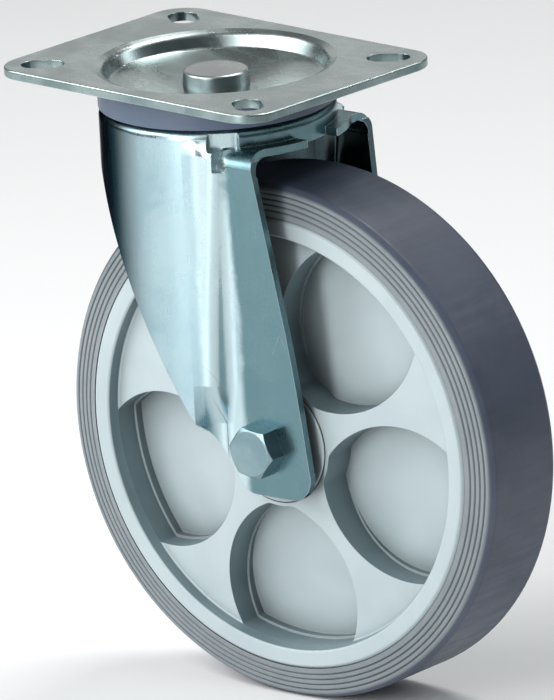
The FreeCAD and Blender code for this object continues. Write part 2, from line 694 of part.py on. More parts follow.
def make_wheel_rim():
    """The rim: a ring with a raised lip on each side and a small step inside."""
    body = new_body("wheel_rim")
    section = sketch_on(body, "XY_Plane", "rim_section")
    rim, lip, lip_half = dim("rim_radius"), dim("lip_radius"), dim("lip_half")
    recess, step, ledge = dim("recess_radius"), dim("ledge_half"), dim("pocket_ledge")
    half = [
        (recess - ledge, step, 0), (recess, step, 0), (recess, dim("recess_half"), 0),
        (lip, lip_half, 1.2), (rim - 1.2, lip_half, 1.2), (rim, lip_half - 1.4, 0.8),
    ]
    add_outline(section, half + [(x, -y, bend) for x, y, bend in reversed(half)])
    turn(body, section, "rim_turned")
    on_axle(body)
    return body


def make_wheel_hub():
    """The hub: a thick tube with the bearing's bore and a seat for a cap at each end."""
    body = new_body("wheel_hub")
    section = sketch_on(body, "XY_Plane", "hub_section")
    bore, hub, face = dim("shell_radius"), dim("pocket_hub"), dim("hub_half")
    seat_radius, seat = dim("cap_radius") + dim("cap_play"), dim("cap_seat")
    half = [(bore, seat), (seat_radius, seat), (seat_radius, face), (hub, face)]
    outline = half + [(x, -y) for x, y in reversed(half)]
    add_outline(section, [(x, y, 0) for x, y in outline])
    turn(body, section, "hub_turned")
    on_axle(body)
    return body


def make_wheel_web():
    """The web: a disc that thins evenly from the hub to the rim."""
    body = new_body("wheel_web")
    section = sketch_on(body, "XY_Plane", "web_section")
    hub, edge = dim("pocket_hub"), dim("recess_radius") - dim("pocket_ledge")
    at_hub, at_edge = web_half(hub), web_half(edge)
    outline = [(hub, -at_hub), (edge, -at_edge), (edge, at_edge), (hub, at_hub)]
    add_outline(section, [(x, y, 0) for x, y in outline])
    turn(body, section, "web_turned")
    on_axle(body)
    return body


def make_spokes(label, sign):
    """The five flared spokes on one side of the web, left standing between the pockets."""
    body = new_body(label)
    section = sketch_on(body, "XY_Plane", f"{label}_section")
    hub, rim, step = dim("pocket_hub"), dim("recess_radius"), dim("ledge_half")
    edge = rim - dim("pocket_ledge")
    outline = [
        (hub, web_half(hub)), (hub, dim("hub_half")), (rim, dim("recess_half")), (rim, step),
        (edge, step), (edge, web_half(edge)),
    ]
    add_outline(section, [(x, sign * y, 0) for x, y in outline])
    turn(body, section, f"{label}_turned")

    inner = sketch_on(body, "XZ_Plane", f"{label}_petal_inner")
    add_petal(inner, dim("pocket_ledge"))
    deep = cut(body, inner, "lip_half * 3", f"{label}_petal_deep", both_ways=True)
    outer = sketch_on(body, "XZ_Plane", f"{label}_petal_outer", lift=f"{-sign} * ledge_half")
    add_petal(outer, 0)
    wide = cut(body, outer, "lip_half * 2", f"{label}_petal_wide", flip=sign < 0)
    around(body, [deep, wide], "spoke_count", "Y_Axis", f"{label}_petals")
    on_axle(body)
    return body


def make_tyre():
    """The soft tyre: flat tread, rounded shoulders and four fine rings on each side wall."""
    body = new_body("tyre")
    section = sketch_on(body, "XY_Plane", "tyre_section")
    rim, outer = dim("rim_radius"), dim("wheel_radius")
    edge, shoulder, tread = dim("tyre_half"), dim("tyre_edge_half"), dim("tread_half")
    top = outer - 2.0
    slope = (edge - shoulder) / (top - rim)
    half = [(rim, edge, 0)]
    for number in range(int(dim("groove_count"))):
        middle = dim("groove_first") + number * dim("groove_step")
        wide, deep = dim("groove_half"), dim("groove_depth")
        for step, sink in ((-wide, 0), (0, deep), (wide, 0)):
            radius = middle + step
            half.append((radius, edge - slope * (radius - rim) - sink, 0))
    half += [(top, shoulder, 1.2), (outer, tread, 2.5)]
    mirrored = [(x, -y, bend) for x, y, bend in reversed(half)]
    add_outline(section, half + mirrored)
    turn(body, section, "tyre_turned")
    on_axle(body)
    return body


# ---------------------------------------------------------------- hub bearing and axle

def make_hub_cap(label, sign):
    """The plastic cap pressed into the end of the hub, with a shallow ring in its face."""
    body = new_body(label)
    section = sketch_on(body, "XY_Plane", f"{label}_section")
    bore, edge, seat, face = dim("cap_bore"), dim("cap_radius"), dim("cap_seat"), dim("cap_face")
    add_outline(section, [
        (bore, sign * seat, 0), (edge, sign * seat, 0), (edge, sign * face, 0.7), (bore, sign * face, 0.4),
    ])
    turn(body, section, f"{label}_turned")
    on_axle(body)
    return body


def make_roller_cage():
    """The plastic cage of the hub bearing, with a window for each roller."""
    body = new_body("roller_cage")
    section = sketch_on(body, "XY_Plane", "cage_section")
    add_box(section, "cage_inner", "cage_outer", "- cage_half", "cage_half")
    turn(body, section, "cage_turned")
    window = sketch_on(body, "XY_Plane", "cage_window")
    clear = dim("roller_radius") + 0.15
    tall = dim("roller_half") + 0.3
    add_outline(window, [(-clear, -tall, 0.4), (clear, -tall, 0.4), (clear, tall, 0.4), (-clear, tall, 0.4)])
    slot = cut(body, window, "cage_outer + 2", "cage_window_cut", flip=True)
    around(body, [slot], "roller_count", "Y_Axis", "cage_windows")
    on_axle(body)
    return body


def make_rollers():
    """The hub bearing's rollers, each its own solid."""
    body = new_body("bearing_rollers")
    section = sketch_on(body, "XZ_Plane", "roller_section")
    section.addGeometry(Part.Circle(Vec(0, dim("roller_circle"), 0), UP, dim("roller_radius")))
    roller = pad(body, section, "roller_half * 2", "roller")
    roller.Midplane = True
    around(body, [roller], "roller_count", "Y_Axis", "rollers")
    on_axle(body)
    return body


def add_hexagon(sketch, flats):
    """A hexagon about the sketch's origin, turned so that its flats lean by hex_turn."""
    corner = dim(flats) / math.sqrt(3)
    lean = math.radians(dim("hex_turn"))
    points = []
    for number in range(6):
        angle = math.radians(30 + 60 * number) + lean
        points.append(Vec(corner * math.cos(angle), corner * math.sin(angle), 0))
    for number in range(6):
        sketch.addGeometry(Part.LineSegment(points[number - 1], points[number]))


def chamfer_hexagon(body, name, face, sign, flats):
    """Turn off the hexagon's corners with a 30 degree cone at the outer face."""
    section = sketch_on(body, "XY_Plane", name)
    reach = dim(flats) / math.sqrt(3) + 1
    touch = dim(flats) / 2 - 0.4
    drop = (reach - touch) * math.tan(math.radians(30))
    add_outline(section, [(touch, sign * face, 0), (reach, sign * face, 0), (reach, sign * (face - drop), 0)])
    turn(body, section, f"{name}_groove", "PartDesign::Groove")


def make_axle_bolt():
    """The hexagon axle bolt: head outside the near leg, shank through both legs."""
    body = new_body("axle_bolt")
    head = sketch_on(body, "XZ_Plane", "head_hexagon", lift="leg_half_width")
    add_hexagon(head, "head_flats")
    pad(body, head, "head_height", "bolt_head")
    shank = sketch_on(body, "XY_Plane", "shank_section")
    add_box(shank, "0", "bolt_radius", "- ( leg_half_width + 1 )", "bolt_tip")
    turn(body, shank, "bolt_shank")
    chamfer_hexagon(body, "head_chamfer", dim("leg_half_width") + dim("head_height"), -1, "head_flats")
    on_axle(body)
    return body


def make_axle_nut():
    """The self-locking nut on the far leg, recessed for its lock ring."""
    body = new_body("axle_nut")
    start = "- ( leg_half_width + washer_thick )"
    blank = sketch_on(body, "XZ_Plane", "nut_hexagon", lift=start)
    add_hexagon(blank, "nut_flats")
    pad(body, blank, "nut_height", "nut_blank", down=True)
    collar = sketch_on(body, "XY_Plane", "nut_collar")
    low = dim("leg_half_width") + dim("washer_thick") + dim("nut_height")
    high = low + dim("lock_ring_height")
    ring = dim("lock_ring_radius")
    add_outline(collar, [(ring - 1, low - 1, 0), (ring + 0.6, low - 1, 0), (ring + 0.6, low + 1, 0.8),
                         (ring, high, 0.4), (ring - 1, high, 0)])
    turn(body, collar, "collar_turned")
    hole = sketch_on(body, "XZ_Plane", "nut_hole", lift=start)
    add_circle(hole, "bolt_radius")
    cut(body, hole, "nut_height", "nut_hole_cut", flip=False)
    on_axle(body)
    return body


def make_axle_parts():
    """Plain rings on the axle: sleeve, spacers, washer, lock ring and the outer bearing shell."""
    leg = "( leg_half_width - fork_sheet )"
    tube("axle_sleeve", "sleeve_bore", "sleeve_radius", f"- {leg}", leg)
    gap = "( cap_face + spacer_play )"
    tube("spacer_near", "sleeve_radius", "spacer_radius", f"- {leg}", f"- {gap}")
    tube("spacer_far", "sleeve_radius", "spacer_radius", gap, leg)
    tube("nut_washer", "bolt_radius + 0.3", "washer_radius", "leg_half_width", "leg_half_width + washer_thick")
    low = "( leg_half_width + washer_thick + nut_height )"
    tube("nut_lock_ring", "bolt_radius", "lock_ring_radius - 1", low, f"{low} + lock_ring_height - 0.4")
    tube("bearing_shell", "shell_radius - shell_wall", "shell_radius", "- shell_half", "shell_half")


# ---------------------------------------------------------------- build, check, write

def export_parts():
    """Check every object and every sub-part, then write one STEP file for each sub-part."""
    doc.recompute()
    problems = [item.Label for item in doc.Objects if {"Invalid", "Error"} & set(item.State)]
    bodies = [item for item in doc.Objects if item.TypeId == "PartDesign::Body"]
    for body in bodies:
        if body.Shape.isNull() or not body.Shape.isValid():
            problems.append(f"{body.Label} shape")
    if problems:
        raise RuntimeError(f"not built: {sorted(problems)}")
    os.makedirs("parts", exist_ok=True)
    for body in bodies:
        body.Shape.exportStep(f"parts/{body.Label}.step")
        print(f"{body.Label}: {len(body.Shape.Solids)} solid(s), {body.Shape.Volume:.0f} mm3")


make_top_plate()
make_king_pin()
make_lower_race_cup()
make_balls("upper_bearing_balls", "ball_circle", "ball_radius", "ball_count", upper_ball_height())
make_balls("lower_bearing_balls", "low_ball_circle", "low_ball_radius", "low_ball_count", lower_ball_height())
make_dust_seal()
make_fork()
make_axle_bolt()
make_axle_nut()
make_axle_parts()
make_wheel_rim()
make_wheel_hub()
make_wheel_web()
make_spokes("spokes_near", -1)
make_spokes("spokes_far", 1)
make_tyre()
make_hub_cap("hub_cap_near", -1)
make_hub_cap("hub_cap_far", 1)
make_roller_cage()
make_rollers()
export_parts()
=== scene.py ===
import json
import math

import bmesh
import bpy
from mathutils import Matrix, Vector


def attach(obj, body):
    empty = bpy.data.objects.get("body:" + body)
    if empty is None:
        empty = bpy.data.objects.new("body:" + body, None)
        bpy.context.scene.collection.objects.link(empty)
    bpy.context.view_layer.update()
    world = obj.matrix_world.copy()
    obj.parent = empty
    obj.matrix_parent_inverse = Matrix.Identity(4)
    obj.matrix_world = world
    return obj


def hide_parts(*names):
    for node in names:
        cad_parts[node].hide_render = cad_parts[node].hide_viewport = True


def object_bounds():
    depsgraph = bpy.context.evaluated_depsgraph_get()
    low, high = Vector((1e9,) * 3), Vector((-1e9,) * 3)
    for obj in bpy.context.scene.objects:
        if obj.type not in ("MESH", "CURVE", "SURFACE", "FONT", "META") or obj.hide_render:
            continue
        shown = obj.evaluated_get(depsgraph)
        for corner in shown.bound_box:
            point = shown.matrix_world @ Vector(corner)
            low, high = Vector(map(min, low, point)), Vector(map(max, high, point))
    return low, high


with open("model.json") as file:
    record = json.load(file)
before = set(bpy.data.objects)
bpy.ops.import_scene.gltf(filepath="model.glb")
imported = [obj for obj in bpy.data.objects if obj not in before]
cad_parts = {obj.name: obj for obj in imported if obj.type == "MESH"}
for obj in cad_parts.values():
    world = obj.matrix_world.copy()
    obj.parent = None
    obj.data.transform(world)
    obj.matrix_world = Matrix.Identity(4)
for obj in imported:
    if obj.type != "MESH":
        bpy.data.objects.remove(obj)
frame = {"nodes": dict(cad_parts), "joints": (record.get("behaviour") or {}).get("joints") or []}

CAD_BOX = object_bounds()
JOINTS = {joint["name"]: joint for joint in frame["joints"]}
AXLE = Vector(JOINTS["wheel_spin"]["pos_m"])
AXIS = Vector(JOINTS["wheel_spin"]["axis"])
SWIVEL = math.atan2(-AXIS.x, AXIS.y)
MM = 0.001


# ---------------------------------------------------------------- node helpers
class Paint:
    """One node material, with short calls for the nodes that the finishes share."""

    def __init__(self, name):
        self.material = bpy.data.materials.new(name)
        self.material.use_nodes = True
        self.tree = self.material.node_tree
        self.tree.nodes.clear()
        self.output = self.node("ShaderNodeOutputMaterial")
        self.shader = self.node("ShaderNodeBsdfPrincipled")
        self.link(self.shader.outputs[0], self.output.inputs["Surface"])
        where = self.node("ShaderNodeTexCoord")
        self.place, self.normal = where.outputs["Object"], where.outputs["Normal"]

    def node(self, kind, **settings):
        made = self.tree.nodes.new(kind)
        for key, value in settings.items():
            setattr(made, key, value)
        return made

    def link(self, source, target):
        self.tree.links.new(source, target)

    def feed(self, target, value):
        if isinstance(value, bpy.types.NodeSocket):
            self.link(value, target)
        else:
            target.default_value = value

    def set(self, name, value):
        self.feed(self.shader.inputs[name], value)

    def math(self, operation, first, second=0.0, third=0.0, clamp=False):
        made = self.node("ShaderNodeMath", operation=operation, use_clamp=clamp)
        for target, value in zip(made.inputs, (first, second, third)):
            self.feed(target, value)
        return made.outputs[0]

    def vector(self, operation, first, second=(0, 0, 0)):
        made = self.node("ShaderNodeVectorMath", operation=operation)
        self.feed(made.inputs[0], first)
        if operation != "LENGTH":
            self.feed(made.inputs[1], second)
        return made.outputs["Value" if operation in ("LENGTH", "DOT_PRODUCT") else "Vector"]

    def span(self, value, low, high, out_low=0.0, out_high=1.0, smooth=True):
        """value between low and high becomes out_low to out_high."""
        made = self.node("ShaderNodeMapRange")
        if smooth:
            made.interpolation_type = "SMOOTHSTEP"
        for name, number in (
            ("Value", value),
            ("From Min", low),
            ("From Max", high),
            ("To Min", out_low),
            ("To Max", out_high),
        ):
            self.feed(made.inputs[name], number)
        return made.outputs["Result"]

    def mix(self, share, first, second, blend="MIX"):
        made = self.node("ShaderNodeMix", data_type="RGBA", blend_type=blend)
        self.feed(made.inputs[0], share)
        for target, value in ((made.inputs[6], first), (made.inputs[7], second)):
            self.feed(target, value if isinstance(value, bpy.types.NodeSocket) else (*value, 1.0))
        return made.outputs[2]

    def stretch(self, scale, turn=(0, 0, 0), place=None):
        made = self.node("ShaderNodeMapping")
        self.feed(made.inputs["Vector"], place or self.place)
        made.inputs["Rotation"].default_value = turn
        made.inputs["Scale"].default_value = scale
        return made.outputs[0]

    def noise(self, scale, detail=3.0, rough=0.55, place=None, warp=0.0):
        made = self.node("ShaderNodeTexNoise")
        self.feed(made.inputs["Vector"], place or self.place)
        made.inputs["Scale"].default_value = scale
        made.inputs["Detail"].default_value = detail
        made.inputs["Roughness"].default_value = rough
        made.inputs["Distortion"].default_value = warp
        return made.outputs["Fac"]

    def cracks(self, scale, place=None):
        """Distance to the nearest cell edge: thin where a scratch may run."""
        made = self.node("ShaderNodeTexVoronoi", feature="DISTANCE_TO_EDGE")
        self.feed(made.inputs["Vector"], place or self.place)
        made.inputs["Scale"].default_value = scale
        return made.outputs["Distance"]

    def rounded(self, radius):
        made = self.node("ShaderNodeBevel", samples=4)
        made.inputs["Radius"].default_value = radius
        return made.outputs[0]

    def edges(self, rounded):
        """1 along a sharp edge, 0 on a flat face."""
        flat = self.node("ShaderNodeNewGeometry").outputs["Normal"]
        return self.span(self.vector("DOT_PRODUCT", rounded, flat), 0.995, 0.86)

    def hollows(self, distance):
        """1 deep in a crevice, 0 in the open."""
        made = self.node("ShaderNodeAmbientOcclusion", samples=6)
        made.inputs["Distance"].default_value = distance
        return self.math("SUBTRACT", 1.0, made.outputs["AO"], clamp=True)

    def bump(self, height, strength, distance, normal=None):
        made = self.node("ShaderNodeBump")
        made.inputs["Strength"].default_value = strength
        made.inputs["Distance"].default_value = distance
        self.feed(made.inputs["Height"], height)
        if normal is not None:
            self.link(normal, made.inputs["Normal"])
        return made.outputs[0]

    def fork_place(self, centre=(0, 0, 0)):
        """(out along the trail, across the wheel, up), from a centre, in metres."""
        made = self.node("ShaderNodeMapping", vector_type="TEXTURE")
        self.link(self.place, made.inputs["Vector"])
        made.inputs["Location"].default_value = centre
        made.inputs["Rotation"].default_value = (0, 0, SWIVEL)
        return made.outputs[0]

    def apart(self, place):
        made = self.node("ShaderNodeSeparateXYZ")
        self.link(place, made.inputs[0])
        return made.outputs


# ---------------------------------------------------------------- finishes
def zinc(name, colour, shade, roughness, grain=(1, 1, 1), edge=0.0004, zones=None):
    """Zinc plate on pressed steel: cloudy, faintly drawn along grain, brighter on worn edges, with painted
    shade in crevices.

    zones is a function that changes the tint over parts of the piece.
    """
    p = Paint(name)
    p.shader.inputs["Metallic"].default_value = 1.0
    rounded = p.rounded(edge)
    worn = p.edges(rounded)
    cloud = p.noise(38, 4, 0.6, warp=0.6)
    fine = p.noise(900, 3, 0.6)
    drawn = p.noise(160, 4, 0.65, p.stretch(grain))
    # mask of crevices, which get painted shade and are also made rougher below
    shaded_crevices = p.span(p.math("MULTIPLY", p.hollows(0.006), p.span(cloud, 0.3, 0.7, 0.6, 1.1)), 0.35, 1.0)
    cells = p.cracks(34, p.stretch((1.0, 1.0, 0.35), (0.5, 0.3, 0.2)))
    near = p.span(cells, 0.004, 0.0, smooth=False)
    scratch = p.math("MULTIPLY", near, p.span(p.noise(55, 2), 0.56, 0.62))
    tint = p.mix(p.span(cloud, 0.32, 0.70), colour, shade)
    if zones:
        tint = zones(p, tint, cloud)
    tint = p.mix(p.math("MULTIPLY", worn, 0.55), tint, (0.90, 0.93, 0.94))
    # painted shade darkens the crevices
    tint = p.mix(p.math("MULTIPLY", shaded_crevices, 0.65), tint, (0.16, 0.18, 0.19))
    tint = p.mix(p.math("MULTIPLY", scratch, 0.5), tint, (0.42, 0.44, 0.45))
    p.set("Base Color", tint)
    rough = p.math("ADD", roughness, p.span(cloud, 0.3, 0.7, -0.035, 0.05))
    rough = p.math("ADD", rough, p.span(drawn, 0.3, 0.7, -0.03, 0.05))
    rough = p.math("ADD", rough, p.math("MULTIPLY", shaded_crevices, 0.22))
    rough = p.math("ADD", rough, p.math("MULTIPLY", scratch, 0.15), clamp=True)
    p.set("Roughness", rough)
    height = p.math("ADD", p.math("MULTIPLY", fine, 0.35), p.math("MULTIPLY", drawn, 0.65))
    height = p.math("SUBTRACT", height, p.math("MULTIPLY", scratch, 0.8))
    p.set("Normal", p.bump(height, 0.22, 0.00006, rounded))
    return p.material


def fork_zones(p, tint, cloud):
    """Painted light on the fork: darker legs and a near-black back as painted dark reflections, a painted
    highlight on the bead, painted shade inside and under.
    """
    along = p.apart(p.fork_place())[0]
    along = p.math("ADD", along, p.span(cloud, 0.3, 0.7, -1 * MM, 1 * MM))
    # mask of the flat legs, which get a painted dark reflection
    dark_leg_reflection = p.span(along, 29.0 * MM, 33.0 * MM)
    # mask of the back of the fork, which gets a painted dark reflection
    rear = p.span(along, 3.0 * MM, -19.0 * MM)
    # mask along the bead, which gets a painted highlight
    bead_highlight = p.math("MULTIPLY", p.span(along, 17.5 * MM, 21.5 * MM), 0.6)
    # mask of faces turned inward or downward, which get painted shade
    outwards = p.vector("NORMALIZE", p.vector("MULTIPLY", p.place, (1, 1, 0)))
    inner = p.span(p.vector("DOT_PRODUCT", outwards, p.normal), -0.1, -0.4)
    under = p.span(p.apart(p.normal)[2], -0.4, -0.8)
    inside = p.math("MAXIMUM", inner, under)
    # painted highlight along the bead
    tint = p.mix(bead_highlight, tint, (0.66, 0.82, 0.85))
    # painted dark reflection: the flat legs are multiplied darker
    tint = p.mix(dark_leg_reflection, tint, p.mix(1.0, tint, (0.26, 0.35, 0.37), "MULTIPLY"))
    # painted dark reflection: the back of the fork is turned near-black
    tint = p.mix(p.math("MULTIPLY", rear, 0.92), tint, (0.026, 0.040, 0.047))
    # painted dark reflection and shade: the specular tint is dimmed at the back and inside
    rear_and_inside_shade = p.math("MAXIMUM", rear, inside)
    p.set("Specular Tint", p.mix(rear_and_inside_shade, (1.0, 1.0, 1.0), (0.12, 0.14, 0.15)))
    # painted shade: inward and downward faces are turned near-black
    return p.mix(p.math("MULTIPLY", inside, 0.92), tint, (0.022, 0.030, 0.034))


def painted_side_shade(p, tint, cloud):
    """Painted shade: cut edges and upright sides are multiplied darker than the level faces."""
    level = p.math("ABSOLUTE", p.apart(p.normal)[2])
    # painted shade on faces that are not level
    side = p.span(level, 0.75, 0.35, 0.0, p.span(cloud, 0.3, 0.7, 0.8, 1.0))
    return p.mix(side, tint, p.mix(1.0, tint, (0.36, 0.42, 0.44), "MULTIPLY"))


def painted_wall_shade(p, tint, cloud):
    """Painted shade: faces square to the wheel's side, such as the pocket walls, are multiplied darker."""
    sideways = p.math("ABSOLUTE", p.vector("DOT_PRODUCT", p.normal, tuple(AXIS)))
    # painted shade on the faces square to the wheel's side
    wall = p.span(sideways, 0.7, 0.3, 0.0, p.span(cloud, 0.3, 0.7, 0.85, 1.0))
    return p.mix(wall, tint, p.mix(1.0, tint, (0.34, 0.42, 0.45), "MULTIPLY"))


def moulded(name, colour, shade, roughness, edge=0.0005, crevice_shade_share=0.4, zones=None):
    """Moulded plastic: fine texture, faint flow clouding, painted shade in crevices and deep hollows,
    softened edges with a painted highlight.

    zones is a function that changes the tint over parts of the piece.
    """
    p = Paint(name)
    rounded = p.rounded(edge)
    cloud = p.noise(24, 3, 0.5, warp=0.8)
    grain = p.noise(2600, 2, 0.5)
    flow = p.noise(60, 3, 0.6, p.stretch((1, 1, 0.2)))
    shaded_crevices = p.span(p.math("MULTIPLY", p.hollows(0.008), p.span(cloud, 0.3, 0.7, 0.7, 1.1)), 0.4, 1.0)
    tint = p.mix(p.span(cloud, 0.3, 0.7), colour, shade)
    if zones:
        tint = zones(p, tint, cloud)
    # painted shade in the crevices
    tint = p.mix(p.math("MULTIPLY", shaded_crevices, crevice_shade_share), tint, tuple(0.45 * c for c in shade))
    # painted deep shade in the pocket hollows
    deep = p.span(p.hollows(0.022), 0.36, 0.60)
    tint = p.mix(p.math("MULTIPLY", deep, crevice_shade_share), tint, tuple(0.16 * c for c in shade))
    # painted highlight: edges are lightened
    tint = p.mix(p.math("MULTIPLY", p.edges(rounded), 0.35), tint, tuple(min(1.0, 1.25 * c) for c in colour))
    p.set("Base Color", tint)
    p.set("Roughness", p.math("ADD", roughness, p.span(flow, 0.3, 0.7, -0.05, 0.06), clamp=True))
    height = p.math("ADD", p.math("MULTIPLY", grain, 0.5), p.math("MULTIPLY", flow, 0.5))
    p.set("Normal", p.bump(height, 0.18, 0.00005, rounded))
    return p.material


def rubber(name):
    """Soft tyre: paler side wall, darker and bluer tread with fine scuffs, painted shade on the groove
    floors.
    """
    p = Paint(name)
    place = p.fork_place(AXLE)
    across = p.math("ABSOLUTE", p.apart(place)[1])
    rounded = p.rounded(0.0003)
    wall = p.span(across, 0.0188, 0.0202)
    cloud = p.noise(30, 4, 0.6, warp=0.5)
    grain = p.noise(1800, 3, 0.6)
    scuff = p.noise(300, 4, 0.7, p.stretch((1, 0.12, 1), place=place))
    # mask of the groove floors, which get painted shade
    groove_shade = p.span(p.hollows(0.0016), 0.25, 0.7)
    tread_tint = p.mix(p.span(cloud, 0.3, 0.7), (0.055, 0.070, 0.105), (0.075, 0.093, 0.135))
    wall_tint = p.mix(p.span(cloud, 0.3, 0.7), (0.190, 0.222, 0.238), (0.220, 0.252, 0.268))
    tint = p.mix(wall, tread_tint, wall_tint)
    # painted shade darkens the groove floors
    tint = p.mix(p.math("MULTIPLY", groove_shade, 0.8), tint, (0.035, 0.042, 0.052))
    p.set("Base Color", tint)
    p.set("Roughness", p.math("ADD", 0.46, p.span(scuff, 0.3, 0.7, -0.06, 0.10)))
    height = p.math("ADD", p.math("MULTIPLY", grain, 0.5), p.math("MULTIPLY", scuff, 0.5))
    p.set("Normal", p.bump(height, 0.25, 0.00006, rounded))
    return p.material


def steel(name, colour, roughness):
    """Hardened bearing steel: turned, with fine rings and a thin film of grease."""
    p = Paint(name)
    p.shader.inputs["Metallic"].default_value = 1.0
    rounded = p.rounded(0.0002)
    cloud = p.noise(120, 3, 0.6)
    rings = p.noise(700, 3, 0.6, p.stretch((1, 1, 0.08)))
    tint = p.mix(p.span(cloud, 0.3, 0.7), colour, tuple(0.8 * c for c in colour))
    p.set("Base Color", tint)
    p.set("Roughness", p.math("ADD", roughness, p.span(rings, 0.3, 0.7, -0.03, 0.06)))
    p.set("Normal", p.bump(rings, 0.15, 0.00003, rounded))
    return p.material


def coat(node, material):
    """Puts one finish on a CAD node."""
    mesh = frame["nodes"][node].data
    mesh.materials.clear()
    mesh.materials.append(material)


# plate and pin get painted shade on their upright sides
plate_zinc = zinc("zinc_plate", (0.62, 0.70, 0.68), (0.50, 0.58, 0.57), 0.27, (0.25, 1, 1), zones=painted_side_shade)
pin_zinc = zinc("zinc_pin", (0.62, 0.64, 0.63), (0.54, 0.56, 0.56), 0.30, zones=painted_side_shade)
# the fork's zones paint dark reflections on the legs and back, a highlight on the bead and shade inside and
# under
fork_zinc = zinc("zinc_fork", (0.37, 0.50, 0.54), (0.29, 0.42, 0.47), 0.27, (1, 1, 0.15), zones=fork_zones)
bolt_zinc = zinc("zinc_bolt", (0.26, 0.37, 0.40), (0.20, 0.30, 0.34), 0.34, edge=0.0003)
# the hub plastic gets painted shade on its pocket walls and in its crevices and hollows, and a painted
# highlight on its edges
hub_grey = moulded("hub_plastic", (0.43, 0.51, 0.53), (0.39, 0.465, 0.49), 0.40, 0.0005, 0.7, painted_wall_shade)
seal_grey = moulded("seal_plastic", (0.085, 0.12, 0.18), (0.07, 0.10, 0.15), 0.42)
cage_amber = moulded("cage_plastic", (0.50, 0.45, 0.33), (0.42, 0.38, 0.28), 0.45)
lock_white = moulded("lock_nylon", (0.68, 0.69, 0.66), (0.60, 0.61, 0.58), 0.40, 0.0003)
ball_steel = steel("bearing_steel", (0.70, 0.71, 0.73), 0.10)
race_steel = steel("hard_steel", (0.46, 0.47, 0.48), 0.30)
tyre_rubber = rubber("soft_tyre")

FINISHES = {
    "top_plate": plate_zinc,
    "king_pin": pin_zinc,
    "lower_race_cup": race_steel,
    "upper_bearing_balls": ball_steel,
    "lower_bearing_balls": ball_steel,
    "dust_seal": seal_grey,
    "fork": fork_zinc,
    "axle_bolt": bolt_zinc,
    "axle_nut": bolt_zinc,
    "nut_lock_ring": lock_white,
    "nut_washer": bolt_zinc,
    "axle_sleeve": race_steel,
    "spacer_near": hub_grey,
    "spacer_far": hub_grey,
    "tyre": tyre_rubber,
    "hub_cap_near": hub_grey,
    "hub_cap_far": hub_grey,
    "bearing_shell": race_steel,
    "roller_cage": cage_amber,
    "bearing_rollers": ball_steel,
}
for node, finish in FINISHES.items():
    coat(node, finish)


# ---------------------------------------------------------------- mesh helpers
def new_piece(name, points, faces):
    mesh = bpy.data.meshes.new(name)
    mesh.from_pydata([tuple(point) for point in points], [], faces)
    made = bpy.data.objects.new(name, mesh)
    bpy.context.scene.collection.objects.link(made)
    return made


def revolve(name, outline, segments):
    """A closed ring: the outline's (radius, across) points turned about the wheel's Y axis."""
    points, faces, count = [], [], len(outline)
    for number in range(segments):
        angle = math.tau * number / segments
        for radius, across in outline:
            points.append((radius * math.cos(angle), across, radius * math.sin(angle)))
        following = (number + 1) % segments
        for corner in range(count):
            beside = (corner + 1) % count
            faces.append((
                number * count + corner, number * count + beside,
                following * count + beside, following * count + corner,
            ))
    return outward(new_piece(name, points, faces))


def prisms(name, outline, low, high, copies):
    """One upright prism along Y per copy, spread evenly round the wheel."""
    points, faces, count = [], [], len(outline)
    for copy in range(copies):
        turn = Matrix.Rotation(math.tau * copy / copies, 2)
        first = len(points)
        for across in (low, high):
            for spot in outline:
                x, z = turn @ spot
                points.append((x, across, z))
        faces.append(tuple(first + i for i in range(count)))
        faces.append(tuple(first + count + i for i in reversed(range(count))))
        for corner in range(count):
            beside = (corner + 1) % count
            faces.append((first + corner, first + count + corner, first + count + beside, first + beside))
    return outward(new_piece(name, points, faces))


def outward(made):
    form = bmesh.new()
    form.from_mesh(made.data)
    bmesh.ops.recalc_face_normals(form, faces=form.faces)
    form.to_mesh(made.data)
    form.free()
    return made


def apply(made):
    """Replaces a piece's mesh with what its modifiers make of it."""
    graph = bpy.context.evaluated_depsgraph_get()
    mesh = bpy.data.meshes.new_from_object(made.evaluated_get(graph))
    made.modifiers.clear()
    made.data = mesh


def combine(made, other, operation):
    join = made.modifiers.new("join", "BOOLEAN")
    join.operation = operation
    join.solver = "EXACT"
    join.object = other
    apply(made)
    bpy.data.objects.remove(other)


def soften(made, width, segments=2, angle=30):
    """Bevels the sharp edges and shades the rest smooth."""
    bevel = made.modifiers.new("bevel", "BEVEL")
    bevel.width = width
    bevel.segments = segments
    bevel.limit_method = "ANGLE"
    bevel.angle_limit = math.radians(angle)
    apply(made)
    for face in made.data.polygons:
        face.use_smooth = True
    made.data.set_sharp_from_angle(angle=math.radians(40))
    weighted = made.modifiers.new("weighted", "WEIGHTED_NORMAL")
    weighted.keep_sharp = True
    apply(made)


def to_wheel(made):
    """From the wheel's own frame to its place on the axle."""
    made.data.transform(Matrix.Translation(AXLE) @ Matrix.Rotation(SWIVEL, 4, "Z"))


# ---------------------------------------------------------------- wheel centre, one moulding
HUB, RIM = 24.6 * MM, 80.0 * MM
WEB_AT_HUB, WEB_AT_RIM = 8.5 * MM, 4.4 * MM
LEDGE, LEDGE_HALF = 0.9 * MM, 8.0 * MM
SPOKES, PETAL_TURN = 5, math.radians(-17)


def circle_meet(radius_one, centre, radius_two, side):
    """Where a circle about the wheel's centre crosses another; side picks the crossing."""
    distance = centre.length
    along = (distance ** 2 + radius_one ** 2 - radius_two ** 2) / (2 * distance)
    off = math.sqrt(radius_one ** 2 - along ** 2)
    unit = centre / distance
    return unit * along + Vector((-unit.y, unit.x)) * off * side


def arc(centre, start, end, steps):
    """Points from start to end round a centre, the short way, without the last."""
    one, two = start - centre, end - centre
    first = math.atan2(one.y, one.x)
    sweep = math.remainder(math.atan2(two.y, two.x) - first, math.tau)
    angles = [first + sweep * step / steps for step in range(steps)]
    return [centre + Vector((math.cos(a), math.sin(a))) * one.length for a in angles]


